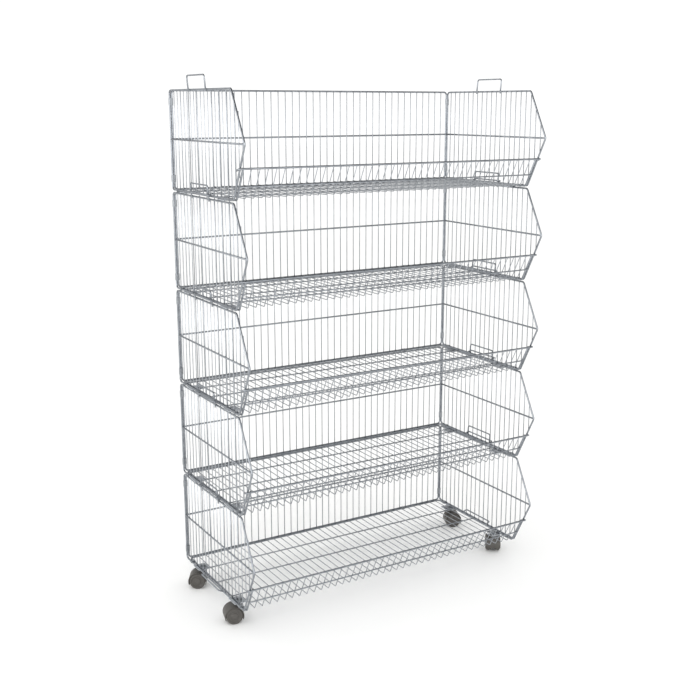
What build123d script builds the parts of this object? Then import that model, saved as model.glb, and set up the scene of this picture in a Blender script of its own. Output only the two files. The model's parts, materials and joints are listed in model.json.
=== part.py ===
from build123d import *
from math import atan2, cos, hypot, radians, sin, tan
import os

# Stacking basket rack: welded wire baskets, one on top of the other, on four swivel castors.
# Millimetres. X runs across the front, +Y points to the back, +Z is up.
# The origin is on the floor, under the middle of the rack.

# Basket sizes
tier_count = 5
basket_width = 1000.0       # over the two side frames
base_depth = 430.0          # over the back frame and the lower front corner
basket_height = 290.0       # underside of the base rail to the top of the side frame
front_bulge = 75.0          # how far the nose stands ahead of the lower front corner
nose_height = 149.0         # nose and middle wire, above the underside of the base rail
lip_height = 86.5           # front lip rail, above the underside of the base rail
lip_mid_height = 38.0       # second rail of the front lip
frame_bend = 10.0           # inside the bends of the frame wire, at its centre line
mesh_bend = 6.0             # where a floor wire turns up into the lip

# Wire sizes
frame_wire = 5.5            # frames, base rails and the lip rail
rail_wire = 4.0             # long wires in the floor and the lip
middle_wire = 5.1           # middle wires of the panels
mesh_wire = 2.6             # thin filling wires
mesh_flats = 6              # sides that a filling wire is drawn with
weld_sink = 0.3             # how far crossing wires melt into each other
wire_overrun = 2.0          # free end of a wire past the one it is welded to

# Filling wires
floor_pitch = 24.5
back_pitch = 24.5
side_pitch = 24.0
mesh_edge_gap = 14.0        # least space between the last filling wire and the frame
floor_rail_count = 3

# How the panels hang together
panel_clearance = 0.5       # between a base rail and the filling wires of the panel beside it
corner_gap = 6.0            # side frame to back frame at a rear corner, centre to centre
seat_gap = 0.1              # side frame over the castor plates
lip_clearance = 0.25        # lip rail to the side frame that it hooks round
hook_length = 15.0
hook_fall = 45.0            # degrees between the hook's tail and the square to the lip
hook_bend = 4.5

# Stacking loops on top of the side frames, and the catches at their foot that drop over them
loop_wire = 4.5
loop_width = 120.0
loop_height = 38.0          # above the centre of the top rail
loop_foot = 6.0             # below the centre of the top rail
loop_lean = 5.0             # degrees outwards
loop_bend = 7.0
catch_rise = 5.5            # above the centre of the bottom rail
catch_play = 1.5            # between a loop and the catch round it

# Castor plates under the base
plate_length = 44.0
plate_thickness = 3.0
plate_margin = 14.0         # from the castor's stem to the inner edge
castor_inset = 13.0         # stem inside the base's side rail
castor_setback = 80.0       # stem from the back frame and from the lower front corner
stack_gap = 0.3             # plate over the top rail of the basket below

# Panel clips
clip_wall = 1.0
clip_play = 0.1
rail_clip_length = 12.0
corner_clip_length = 20.0
corner_clip_drop = 12.0     # from the end of the frame's bend to the clip
side_clip_gap = 1           # space between filling wires that holds a clip, counted from each end
rear_clip_gap = 13          # the same on the back, counted from the middle

# Castors
castor_height = 65.0        # floor to the plate
castor_trail = 18.0         # axle behind the stem
wheel_diameter = 50.0
wheel_width = 17.0
wheel_edge = 3.0            # rounding of the tread's edges
wheel_dish = 2.5            # depth of the ring-shaped hollow in the outer face
dish_inner = 9.0
dish_outer = 19.0
bore_depth = 14.0
web_width = 11.0
wheel_side_gap = 1.0
axle_diameter = 6.0
axle_end_gap = 0.5
running_gap = 0.05          # radial, journal in its socket and wheel on its axle
hood_wall = 2.5
hood_gap = 1.2              # wheel tread to the hood
hood_skirt = 15.0           # lower edge of the hood above the floor
hood_edge = 1.0             # rounding of the roof and of the boss
web_radius = 21.0
boss_diameter = 21.0
boss_drop = 0.3             # hood's top under the stem's collar
collar_height = 6.5
collar_diameter = 17.0
socket_wall = 1.2           # web beside the stem's socket
journal_length = 24.0
socket_floor_gap = 1.0
stem_diameter = 8.0
stem_hole_diameter = 8.4
nut_height = 6.5
nut_sides = 6
nut_flats = 13.0
nut_flange_height = 1.3
nut_flange_diameter = 16.0
nut_gap = 0.03
stem_overrun = 1.0

# Where each castor stands and which way it trails, in degrees from +X
castor_places = {
    "rear_left": (-1, 1, 150.0),
    "rear_right": (1, 1, -22.0),
    "front_left": (-1, -1, 165.0),
    "front_right": (1, -1, 58.0),
}

# Worked out from the sizes above
frame_radius = frame_wire / 2
rail_radius = rail_wire / 2
mesh_radius = mesh_wire / 2
loop_radius = loop_wire / 2
frame_to_mesh = frame_radius + mesh_radius - weld_sink
mesh_to_rail = mesh_radius + rail_radius - weld_sink
mesh_to_middle = mesh_radius + middle_wire / 2 - weld_sink
side_x = basket_width / 2 - frame_radius
side_mesh_x = side_x - frame_to_mesh
base_x = side_mesh_x - mesh_radius - panel_clearance - frame_radius
back_x = side_x - corner_gap
lower_corner = base_depth - frame_wire
nose_depth = lower_corner + front_bulge
top_z = basket_height - frame_radius
base_z = frame_radius
floor_z = base_z + frame_to_mesh
floor_rail_z = floor_z - mesh_to_rail
rear_rail_depth = frame_to_mesh + mesh_radius + panel_clearance + frame_radius
plate_top = weld_sink
plate_drop = plate_thickness - plate_top
bottom_z = plate_top + seat_gap + frame_radius
loop_depth = lower_corner / 2
loop_slope = tan(radians(loop_lean))
loop_rail_x = side_x + frame_radius + loop_radius - weld_sink
loop_head_x = loop_rail_x + loop_height * loop_slope
catch_x = loop_head_x + loop_wire + catch_play
tier_pitch = basket_height + plate_drop + stack_gap
first_tier = castor_height + plate_drop
castor_x = base_x - castor_inset
clip_radius = frame_radius + clip_play + clip_wall
wheel_radius = wheel_diameter / 2
journal_diameter = web_width - 2 * (socket_wall + running_gap)

# The lower front slope of a side frame, as a line in depth and height
slope_run = hypot(front_bulge, nose_height - bottom_z)
slope_depth = front_bulge / slope_run
slope_rise = (nose_height - bottom_z) / slope_run
lip_rail_out = frame_wire + lip_clearance
lip_mesh_out = lip_rail_out - frame_to_mesh
lip_mid_out = lip_mesh_out + mesh_to_rail
lip_side_out = lip_rail_out - (frame_wire - weld_sink)

# The rack is centred between its rear clips and the rounded nose
nose_turn = atan2(front_bulge, nose_height - bottom_z)
nose_back_turn = atan2(front_bulge, top_z - nose_height)
nose_cut = frame_bend * (1 / cos((nose_turn + nose_back_turn) / 2) - 1)
back_y = (nose_depth - nose_cut + frame_radius - clip_radius) / 2


def at(x, depth, z):
    """A point across the rack, forward of the back frame and above the base rail."""
    return Vector(x, back_y - depth, z)


def rod(start, end, diameter):
    """A straight round wire from one point to another."""
    run = end - start
    return Solid.make_cylinder(diameter / 2, run.length, Plane(origin=start, z_dir=run))


def bent_wire(points, bend, diameter, closed=False):
    """A round wire along straight runs with rounded corners."""
    path = FilletPolyline(*points, radius=bend, close=closed)
    section = Plane(origin=path @ 0, z_dir=path % 0) * Circle(diameter / 2)
    return sweep(section, path=path).solid()


def mesh_section(start, run, facing):
    """Section of a filling wire, drawn with six flats, one of them against the wire it crosses."""
    flats = RegularPolygon(mesh_radius, mesh_flats, major_radius=False, rotation=180 / mesh_flats)
    return Plane(origin=start, x_dir=facing, z_dir=run) * flats


def mesh_rod(start, end, facing):
    """A straight filling wire from one point to another."""
    run = end - start
    return extrude(mesh_section(start, run, facing), run.length).solid()


def welded(wires):
    """Crossing wires joined into one panel."""
    return wires[0].fuse(*wires[1:]).solid()


def centred_places(pitch, half_span):
    """Places at an even pitch on both sides of the middle, clear of the frame."""
    steps = int((half_span - mesh_edge_gap) / pitch)
    return [pitch * step for step in range(-steps, steps + 1)]


def slope_depth_at(z, out):
    """Depth of the line that lies out from the lower front slope, at a height."""
    start_depth = lower_corner + out * slope_rise
    start_z = bottom_z - out * slope_depth
    return start_depth + (z - start_z) * slope_depth / slope_rise


def lip_point(x, z, out):
    """A point on the front lip, out from the side frame's lower slope."""
    return at(x, slope_depth_at(z, out), z)


def base_side_frame():
    """Rear rail, side rails and upturned ends of the base, bent from one wire."""
    end_z = lip_height + wire_overrun
    corner_depth = slope_depth_at(base_z, lip_side_out)
    half = [
        lip_point(base_x, end_z, lip_side_out),
        at(base_x, corner_depth, base_z),
        at(base_x, rear_rail_depth, base_z),
    ]
    other_half = [Vector(-p.X, p.Y, p.Z) for p in reversed(half)]
    return bent_wire(half + other_half, frame_bend, frame_wire)


def lip_rail():
    """Top rail of the lip, with a hook round each side frame."""
    hook_x = side_x + frame_wire + lip_clearance
    corner = lip_point(hook_x, lip_height, lip_rail_out)
    fall = radians(hook_fall)
    tail_depth = -cos(fall) * slope_rise - sin(fall) * slope_depth
    tail_z = cos(fall) * slope_depth - sin(fall) * slope_rise
    tail = corner + Vector(0, -tail_depth * hook_length, tail_z * hook_length)
    half = [tail, corner]
    other_half = [Vector(-p.X, p.Y, p.Z) for p in reversed(half)]
    return bent_wire(half + other_half, hook_bend, frame_wire)


def floor_wire(x):
    """A filling wire of the floor, turned up into the lip."""
    path = FilletPolyline(
        at(x, rear_rail_depth - wire_overrun, floor_z),
        at(x, slope_depth_at(floor_z, lip_mesh_out), floor_z),
        lip_point(x, lip_height + wire_overrun, lip_mesh_out),
        radius=mesh_bend,
    )
    section = mesh_section(path @ 0, path % 0, Vector(0, 0, 1))
    return sweep(section, path=path).solid()


def floor_rails():
    """Long wires under the floor, and the second rail of the lip."""
    front = slope_depth_at(floor_z, lip_mesh_out)
    rails = []
    for index in range(floor_rail_count):
        depth = front * (index + 1) / (floor_rail_count + 1)
        rails.append(rod(at(-base_x, depth, floor_rail_z), at(base_x, depth, floor_rail_z), rail_wire))
    end_x = base_x + wire_overrun
    rails.append(
        rod(
            lip_point(-end_x, lip_mid_height, lip_mid_out),
            lip_point(end_x, lip_mid_height, lip_mid_out),
            rail_wire,
        )
    )
    return rails


def castor_depth(end):
    """Depth of a castor's stem: end is 1 at the back and -1 at the front."""
    return castor_setback if end > 0 else lower_corner - castor_setback


def castor_plate(side, end):
    """Drilled plate under a side rail, which also rests on the basket below."""
    outer = basket_width / 2
    inner = castor_x - plate_margin
    middle = at(side * (outer + inner) / 2, castor_depth(end), plate_top - plate_thickness / 2)
    plate = Pos(middle) * Box(outer - inner, plate_length, plate_thickness)
    hole = Pos(at(side * castor_x, castor_depth(end), 0)) * Cylinder(
        stem_hole_diameter / 2, 2 * plate_thickness
    )
    return (plate - hole).solid()


def make_base():
    """Floor and front lip of a basket, with its castor plates."""
    wires = [base_side_frame(), lip_rail()]
    wires += floor_rails()
    wires += [floor_wire(x) for x in centred_places(floor_pitch, base_x)]
    for side in (-1, 1):
        wires += [castor_plate(side, end) for end in (-1, 1)]
    return welded(wires)


def side_span(depth):
    """Lowest and highest frame heights of a side panel at a depth."""
    if depth <= lower_corner:
        return bottom_z, top_z
    share = (depth - lower_corner) / front_bulge
    low = bottom_z + (nose_height - bottom_z) * share
    high = top_z - (top_z - nose_height) * share
    return low, high


def staple(side, half_width, foot, head):
    """U-shaped wire beside a side frame, from two feet to its bar, each given as x and height."""
    return bent_wire(
        [
            at(side * foot[0], loop_depth - half_width, foot[1]),
            at(side * head[0], loop_depth - half_width, head[1]),
            at(side * head[0], loop_depth + half_width, head[1]),
            at(side * foot[0], loop_depth + half_width, foot[1]),
        ],
        loop_bend,
        loop_wire,
    )


def stacking_loop(side):
    """Staple that stands on the outside of a top rail, leaning out a little."""
    foot = (loop_rail_x - loop_foot * loop_slope, top_z - loop_foot)
    return staple(side, loop_width / 2, foot, (loop_head_x, top_z + loop_height))


def catch(side):
    """Staple that reaches out from a bottom rail and drops over the loop of the basket below."""
    half_width = loop_width / 2 + loop_wire + catch_play
    return staple(side, half_width, (side_x, bottom_z), (catch_x, bottom_z + catch_rise))


def make_side(side):
    """Side panel: a closed frame with a nose, a middle wire, filling wires, a loop and a catch."""
    x = side * side_x
    mesh_x = side * side_mesh_x
    middle_x = side * (side_mesh_x + mesh_to_middle)
    outline = [
        at(x, 0, bottom_z),
        at(x, 0, top_z),
        at(x, lower_corner, top_z),
        at(x, nose_depth, nose_height),
        at(x, lower_corner, bottom_z),
    ]
    wires = [bent_wire(outline, frame_bend, frame_wire, closed=True)]
    middle_end = nose_depth - nose_cut
    wires.append(rod(at(middle_x, 0, nose_height), at(middle_x, middle_end, nose_height), middle_wire))
    count = int((nose_depth - mesh_edge_gap) / side_pitch)
    for index in range(count):
        depth = side_pitch * (index + 1)
        low, high = side_span(depth)
        foot = at(mesh_x, depth, low - wire_overrun)
        head = at(mesh_x, depth, high + wire_overrun)
        wires.append(mesh_rod(foot, head, Vector(1, 0, 0)))
    wires += [stacking_loop(side), catch(side)]
    return welded(wires)


def make_back():
    """Back panel: a closed frame, a middle wire and filling wires."""
    outline = [
        at(-back_x, 0, bottom_z),
        at(-back_x, 0, top_z),
        at(back_x, 0, top_z),
        at(back_x, 0, bottom_z),
    ]
    wires = [bent_wire(outline, frame_bend, frame_wire, closed=True)]
    middle_depth = frame_to_mesh - mesh_to_middle
    wires.append(
        rod(at(-back_x, middle_depth, nose_height), at(back_x, middle_depth, nose_height), middle_wire)
    )
    for x in centred_places(back_pitch, back_x):
        foot = at(x, frame_to_mesh, bottom_z - wire_overrun)
        head = at(x, frame_to_mesh, top_z + wire_overrun)
        wires.append(mesh_rod(foot, head, Vector(0, 1, 0)))
    return welded(wires)


def clip(first, second, along, length):
    """Pressed sleeve round two parallel wires, centred between them."""
    between = second - first
    inner = 2 * (frame_radius + clip_play)
    ring = SlotCenterToCenter(between.length, inner + 2 * clip_wall)
    ring -= SlotCenterToCenter(between.length, inner)
    start = (first + second) * 0.5 - along * (length / 2)
    return extrude(Plane(origin=start, x_dir=between, z_dir=along) * ring, length).solid()


def between_wires(pitch, gap):
    """Middle of a space between filling wires, where space 0 follows the wire at zero."""
    return pitch * (gap + 1 / 2)


def make_clips():
    """Sleeves that hold the four panels of a basket together."""
    clips = []
    last_gap = int((lower_corner - frame_bend) / side_pitch)
    rear_depth = between_wires(side_pitch, side_clip_gap)
    front_depth = between_wires(side_pitch, last_gap - side_clip_gap)
    low_z = bottom_z + frame_bend + corner_clip_drop + corner_clip_length / 2
    high_z = top_z - frame_bend - corner_clip_drop - corner_clip_length / 2
    for side in (-1, 1):
        for z in (low_z, high_z):
            clips.append(
                clip(at(side * side_x, 0, z), at(side * back_x, 0, z), Vector(0, 0, 1), corner_clip_length)
            )
        for depth in (rear_depth, front_depth):
            clips.append(
                clip(
                    at(side * side_x, depth, bottom_z),
                    at(side * base_x, depth, base_z),
                    Vector(0, 1, 0),
                    rail_clip_length,
                )
            )
        x = side * between_wires(back_pitch, rear_clip_gap)
        clips.append(
            clip(at(x, 0, bottom_z), at(x, rear_rail_depth, base_z), Vector(1, 0, 0), rail_clip_length)
        )
    return clips


def turned(points):
    """A solid of revolution about Z from a closed outline of radius and height."""
    return revolve(Plane.XZ * make_face(Polyline(*points, close=True)), Axis.Z).solid()


def make_stem():
    """Castor stem: journal in the hood, collar under the plate and a shank for the nut."""
    collar_z = castor_height - collar_height
    journal_z = collar_z - journal_length
    shank_z = castor_height + plate_thickness + nut_height + stem_overrun
    return turned(
        [
            (0, journal_z),
            (journal_diameter / 2, journal_z),
            (journal_diameter / 2, collar_z),
            (collar_diameter / 2, collar_z),
            (collar_diameter / 2, castor_height),
            (stem_diameter / 2, castor_height),
            (stem_diameter / 2, shank_z),
            (0, shank_z),
        ]
    )


def make_nut():
    """Flanged hexagon nut on top of a castor plate."""
    seat = castor_height + plate_thickness
    hexagon = RegularPolygon(nut_flats / 2, nut_sides, major_radius=False)
    body = extrude(Pos(0, 0, seat) * hexagon, nut_height)
    flange = Cylinder(nut_flange_diameter / 2, nut_flange_height)
    flange = Pos(0, 0, seat + nut_flange_height / 2) * flange
    bore = Pos(0, 0, seat + nut_height / 2) * Cylinder(stem_diameter / 2 + nut_gap, 2 * nut_height)
    return (body + flange - bore).solid()


def make_hood():
    """Castor hood: a roof over both wheels, a web between them and a boss for the stem."""
    roof_width = web_width + 2 * (wheel_side_gap + wheel_width)
    roof_inner = wheel_radius + hood_gap
    roof_outer = roof_inner + hood_wall
    hood_top = castor_height - collar_height - boss_drop
    axle_line = Pos(castor_trail, 0, wheel_radius) * Rot(90, 0, 0)
    strip = Pos(roof_inner + hood_wall / 2, 0) * RectangleRounded(hood_wall, roof_width, hood_edge)
    roof = axle_line * revolve(Plane.XZ * strip, Axis.Z)
    web = axle_line * Cylinder(web_radius, web_width)
    bridge_length = castor_trail + roof_inner
    bridge = Pos(bridge_length / 2, 0, wheel_radius) * Box(bridge_length, web_width, 2 * roof_outer)
    web += bridge & axle_line * Cylinder(roof_outer, web_width)
    boss_base = wheel_radius
    boss = Pos(0, 0, (boss_base + hood_top) / 2) * Cylinder(boss_diameter / 2, hood_top - boss_base)
    boss = fillet(boss.edges().group_by(Axis.Z)[-1], hood_edge)
    clear = 4 * castor_height
    boss -= axle_line * Cylinder(roof_inner, roof_width) - Box(clear, web_width, clear)
    below = Pos(0, 0, hood_skirt - clear / 2) * Box(clear, clear, clear)
    body = roof + web + boss - below
    socket_depth = journal_length - boss_drop + socket_floor_gap
    socket = Cylinder(journal_diameter / 2 + running_gap, socket_depth)
    socket = Pos(0, 0, hood_top - socket_depth / 2) * socket
    axle_hole = axle_line * Cylinder(axle_diameter / 2, 2 * roof_width)
    return (body - socket - axle_hole).solid()


def make_axle():
    """Axle pressed into the web, with a wheel on each end."""
    reach = web_width / 2 + wheel_side_gap + bore_depth - axle_end_gap
    axle = Cylinder(axle_diameter / 2, 2 * reach)
    return (Pos(castor_trail, 0, wheel_radius) * Rot(90, 0, 0) * axle).solid()


def make_wheel(side):
    """One of the two wheels: round-edged tread, dished outer face and a blind bore."""
    bore = axle_diameter / 2 + running_gap
    edge_start, edge_end = wheel_radius - wheel_edge, wheel_width - wheel_edge
    with BuildPart() as wheel:
        with BuildSketch(Plane.XZ):
            with BuildLine():
                Line((bore, 0), (edge_start, 0))
                RadiusArc((edge_start, 0), (wheel_radius, wheel_edge), -wheel_edge)
                Line((wheel_radius, wheel_edge), (wheel_radius, edge_end))
                RadiusArc((wheel_radius, edge_end), (edge_start, wheel_width), -wheel_edge)
                Polyline(
                    (edge_start, wheel_width),
                    (dish_outer, wheel_width),
                    (dish_outer - wheel_dish, wheel_width - wheel_dish),
                    (dish_inner + wheel_dish, wheel_width - wheel_dish),
                    (dish_inner, wheel_width),
                    (0, wheel_width),
                    (0, bore_depth),
                    (bore, bore_depth),
                    (bore, 0),
                )
            make_face()
        revolve(axis=Axis.Z)
    inner_face = web_width / 2 + wheel_side_gap
    stand = Pos(castor_trail, side * inner_face, wheel_radius) * Rot(-side * 90, 0, 0)
    return (stand * wheel.part).solid()


def save(node, solids):
    """Write one node, a solid or a group of solids."""
    shape = solids[0] if len(solids) == 1 else Compound(children=solids)
    export_step(shape, f"parts/{node}.step")


def main():
    os.makedirs("parts", exist_ok=True)
    panels = {
        "base": [make_base()],
        "left_side": [make_side(-1)],
        "right_side": [make_side(1)],
        "back": [make_back()],
        "clips": make_clips(),
    }
    for tier in range(tier_count):
        lift = Pos(0, 0, first_tier + tier * tier_pitch)
        for name, solids in panels.items():
            save(f"basket_{tier + 1}_{name}", [lift * solid for solid in solids])

    pieces = {
        "stem": make_stem(),
        "nut": make_nut(),
        "hood": make_hood(),
        "axle": make_axle(),
        "left_wheel": make_wheel(1),
        "right_wheel": make_wheel(-1),
    }
    for corner, (side, end, heading) in castor_places.items():
        stand = Pos(at(side * castor_x, castor_depth(end), 0)) * Rot(0, 0, heading)
        for name, solid in pieces.items():
            save(f"castor_{corner}_{name}", [stand * solid])


main()
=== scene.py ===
import json
from functools import lru_cache
from math import atan2, cos, hypot, pi, radians, sin, tan
from types import SimpleNamespace

import bpy
import numpy as np
from bpy.props import FloatProperty, FloatVectorProperty, IntProperty, PointerProperty
from mathutils import Matrix, Vector

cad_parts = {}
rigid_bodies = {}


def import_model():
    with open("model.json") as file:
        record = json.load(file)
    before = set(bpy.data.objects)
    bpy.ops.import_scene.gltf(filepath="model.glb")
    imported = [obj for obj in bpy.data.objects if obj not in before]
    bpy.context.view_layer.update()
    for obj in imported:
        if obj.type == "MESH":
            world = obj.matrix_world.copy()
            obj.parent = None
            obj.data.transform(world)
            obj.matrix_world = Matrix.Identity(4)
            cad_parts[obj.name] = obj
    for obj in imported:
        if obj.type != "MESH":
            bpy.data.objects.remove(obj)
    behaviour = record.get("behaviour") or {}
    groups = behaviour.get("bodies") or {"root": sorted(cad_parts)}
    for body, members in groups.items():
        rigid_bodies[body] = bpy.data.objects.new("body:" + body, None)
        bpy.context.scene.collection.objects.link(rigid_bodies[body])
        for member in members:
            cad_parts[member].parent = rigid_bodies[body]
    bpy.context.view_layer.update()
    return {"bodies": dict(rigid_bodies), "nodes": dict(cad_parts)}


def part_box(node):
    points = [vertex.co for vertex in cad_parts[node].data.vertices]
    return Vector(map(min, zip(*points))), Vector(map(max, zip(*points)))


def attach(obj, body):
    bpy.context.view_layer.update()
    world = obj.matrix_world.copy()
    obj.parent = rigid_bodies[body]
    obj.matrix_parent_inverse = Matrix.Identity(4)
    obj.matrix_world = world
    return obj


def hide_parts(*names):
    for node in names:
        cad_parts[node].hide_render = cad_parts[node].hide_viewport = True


bl_info = {
    "name": "Stacking basket rack",
    "version": (1, 0, 0),
    "blender": (4, 5, 0),
    "location": "View3D > Sidebar > Basket rack",
    "description": "Round wires, welds, finishes and a studio for the basket rack",
    "category": "Object",
}

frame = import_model()

MM = 0.001
TINY = 1e-6
MIRROR = (-1, 1, 1)
SIDES = {"left": -1, "right": 1}
BASKETS = sorted(body for body in frame["bodies"] if body.startswith("basket_"))
CASTORS = [f"castor_{end}_{hand}" for end in ("rear", "front") for hand in SIDES]

# Number of each finish in a basket's piece
HEAVY, WELD, FILLING, PLATE = range(4)

# Faces round wires and beads, and steps along or round the other surfaces
FRAME_SIDES, RAIL_SIDES, MESH_SIDES = 14, 12, 10
BEAD_SIDES, BEAD_ROWS = 10, 4
PLATE_STEPS, WHEEL_STEPS, ROOF_STEPS, WEB_STEPS, BOSS_STEPS, FOOT_STEPS = 48, 56, 60, 120, 56, 6
ARC_STEP = radians(12)
SHARP_ANGLE = radians(40)

# A cut end of a wire: its radius and its eased length, as shares of the wire's radius
END_RADIUS, END_EASE = 3 / 4, 1 / 3

# Metres between neighbouring wires in a finish's pattern, so that no two wires look alike
PATTERN_SHIFT = 0.37

# Attribute with each point's place on the straightened wire
RUN = "wire_run"

# How far a piece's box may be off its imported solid's
FIT = 1.5 * MM

# Places of a Mix node's sockets, which share their names
SHARE, NUMBER_A, NUMBER_B, COLOUR_A, COLOUR_B = 0, 2, 3, 6, 7


def linear(colour):
    """Linear red, green and blue of an sRGB hex colour."""
    parts = np.array([int(colour[i : i + 2], 16) for i in (1, 3, 5)]) / 255
    return tuple(np.where(parts <= 0.04045, parts / 12.92, ((parts + 0.055) / 1.055) ** 2.4))


def length(name, description, millimetres):
    """A size, given in millimetres and kept in metres."""
    return FloatProperty(
        name=name,
        description=description,
        default=millimetres * MM,
        min=0,
        unit="LENGTH",
        precision=5,
    )


def angle(name, description, degrees):
    """An angle, given in degrees and kept in radians."""
    return FloatProperty(
        name=name, description=description, default=radians(degrees), subtype="ANGLE"
    )


def tint(name, description, colour):
    """A colour, given as an sRGB hex value."""
    return FloatVectorProperty(
        name=name,
        description=description,
        default=linear(colour),
        min=0,
        max=1,
        size=3,
        subtype="COLOR",
    )


class RackSizes(bpy.types.PropertyGroup):
    """Sizes of a basket and of the wires that it is welded from."""

    basket_width: length("Basket width", "Over the two side frames", 1000)
    base_depth: length("Base depth", "Over the back frame and the lower front corner", 430)
    basket_height: length("Basket height", "Base rail's underside to the side frame's top", 290)
    front_bulge: length("Front bulge", "Nose ahead of the lower front corner", 75)
    nose_height: length("Nose height", "Nose and middle wire above the base rail's underside", 149)
    lip_height: length("Lip height", "Lip rail above the base rail's underside", 86.5)
    lip_mid_height: length("Lip middle", "Lip's second rail above the base rail's underside", 38)
    frame_bend: length("Frame bend", "Bend of the frame wire at its centre line", 10)
    mesh_bend: length("Lip bend", "Bend where a floor wire turns up into the lip", 6)
    frame_wire: length("Frame wire", "Diameter of frames, base rails and the lip rail", 5.5)
    rail_wire: length("Long wire", "Diameter of the long wires in floor and lip", 4)
    middle_wire: length("Middle wire", "Diameter of the panels' middle wires", 5.1)
    mesh_wire: length("Filling wire", "Diameter of the thin filling wires", 2.6)
    weld_sink: length("Weld sink", "How far crossing wires melt into each other", 0.3)
    wire_overrun: length("Wire overrun", "Free end of a wire past the one it is welded to", 2)
    floor_pitch: length("Floor pitch", "Spacing of the floor's filling wires", 24.5)
    back_pitch: length("Back pitch", "Spacing of the back's filling wires", 24.5)
    side_pitch: length("Side pitch", "Spacing of a side's filling wires", 24)
    mesh_edge_gap: length("Edge gap", "Least space from the last filling wire to the frame", 14)
    floor_rail_count: IntProperty(
        name="Floor rails", description="Long wires under the floor", default=3, min=1
    )
    panel_clearance: length("Panel clearance", "Base rail to the filling wires beside it", 0.5)
    corner_gap: length("Corner gap", "Side frame to back frame at a rear corner", 6)
    seat_gap: length("Seat gap", "Side frame over the castor plates", 0.1)
    lip_clearance: length("Lip clearance", "Lip rail to the side frame that it hooks round", 0.25)
    hook_length: length("Hook length", "Tail of the lip rail's hook", 15)
    hook_bend: length("Hook bend", "Bend of the hook at its centre line", 4.5)
    hook_fall: angle("Hook fall", "Hook's tail below the square to the lip", 45)
    loop_wire: length("Loop wire", "Diameter of stacking loops and catches", 4.5)
    loop_width: length("Loop width", "Between the centres of a loop's legs", 120)
    loop_height: length("Loop height", "Loop above the centre of the top rail", 38)
    loop_foot: length("Loop foot", "Loop's legs below the centre of the top rail", 6)
    loop_bend: length("Loop bend", "Bend of loops and catches at their centre line", 7)
    loop_lean: angle("Loop lean", "Outward lean of a loop", 5)
    catch_rise: length("Catch rise", "Catch's bar above the centre of the bottom rail", 5.5)
    catch_play: length("Catch play", "Between a loop and the catch round it", 1.5)
    plate_length: length("Plate length", "Castor plate, front to back", 44)
    plate_thickness: length("Plate thickness", "Castor plate", 3)
    plate_margin: length("Plate margin", "Castor's stem to the plate's inner edge", 14)
    plate_hole: length("Plate hole", "Diameter of the castor's hole", 8.4)
    plate_edge: length("Plate edge", "Eased edge of a castor plate", 0.4)
    castor_inset: length("Castor inset", "Stem inside the base's side rail", 13)
    castor_setback: length("Castor setback", "Stem from the back frame and the front corner", 80)
    weld_spread: length("Weld spread", "Spot weld beside the thinner wire", 0.45)
    weld_rise: length("Weld rise", "Half thickness of a spot weld between the wires", 0.9)


class CastorSizes(bpy.types.PropertyGroup):
    """Sizes of a castor's hood and wheels."""

    wheel_diameter: length("Wheel diameter", "Over the tread", 50)
    wheel_width: length("Wheel width", "Inner face to outer face", 17)
    wheel_edge: length("Wheel edge", "Rounding of the tread's edges", 3)
    wheel_dish: length("Wheel dish", "Depth of the ring-shaped hollow in the outer face", 2.5)
    dish_inner: length("Dish inside", "Inner radius of the hollow", 9)
    dish_outer: length("Dish outside", "Outer radius of the hollow", 19)
    moulded_edge: length("Moulded edge", "Rounding of the wheel's small edges", 0.6)
    bore: length("Bore", "Diameter of the wheel's blind bore", 6.1)
    bore_depth: length("Bore depth", "Blind bore from the inner face", 14)
    wheel_space: length("Wheel space", "Between the inner faces of the two wheels", 13)
    hood_wall: length("Hood wall", "Thickness of the roof over the wheels", 2.5)
    hood_gap: length("Hood gap", "Tread to the roof", 1.2)
    hood_skirt: length("Hood skirt", "Lower edge of the hood above the floor", 15)
    hood_top: length("Hood top", "Top of the stem's boss above the floor", 58.2)
    hood_edge: length("Hood edge", "Rounding of the roof and of the boss", 1)
    web_width: length("Web width", "Web between the wheels", 11)
    web_radius: length("Web radius", "Round front of the web", 21)
    web_edge: length("Web edge", "Eased edges of the web and of the socket", 0.4)
    boss_diameter: length("Boss diameter", "Boss round the stem", 21)
    socket: length("Socket", "Diameter of the stem's socket", 8.6)


class RackFinishes(bpy.types.PropertyGroup):
    """Colours of the finishes."""

    zinc: tint("Zinc", "Bright zinc on the floors' filling wires", "#aeb1b5")
    zinc_dull: tint("Dull zinc", "Cloudy patches in that zinc", "#989ca1")
    # Lit and shaded copies of one zinc: the paler pair is painted light on the left panels' filling
    # wires, and the greyer pair is painted shade on the right and back panels' filling wires
    painted_lit: tint("Lit zinc", "Paler zinc on the left panels' filling wires", "#bdc0c4")
    painted_lit_dull: tint("Dull fresh zinc", "Cloudy patches in that zinc", "#a8acb1")
    painted_shade: tint("Shaded zinc", "Greyer zinc on the right and back panels' filling wires", "#9a9da1")
    painted_shade_dull: tint("Dull aged zinc", "Cloudy patches in that zinc", "#878b90")
    coat: tint("Thick zinc", "Duller zinc on frames, rails, loops and catches", "#a0a4a9")
    coat_dull: tint("Dull thick zinc", "Cloudy patches in that zinc", "#8d9197")
    weld: tint("Weld", "Zinc over the spot welds", "#85898b")
    plate: tint("Plate", "Rolled castor plates", "#cfd3d8")
    strip: tint("Clip strip", "Pressed clips", "#929598")
    turned: tint("Turned steel", "Stems, nuts and axles", "#a9abac")
    nylon: tint("Nylon", "Castor hoods and wheels", "#524f4b")
    nylon_worn: tint("Worn nylon", "Scuffed tread of the wheels", "#6a6963")
    floor: tint("Floor", "Studio floor", "#fcfcfb")


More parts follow.
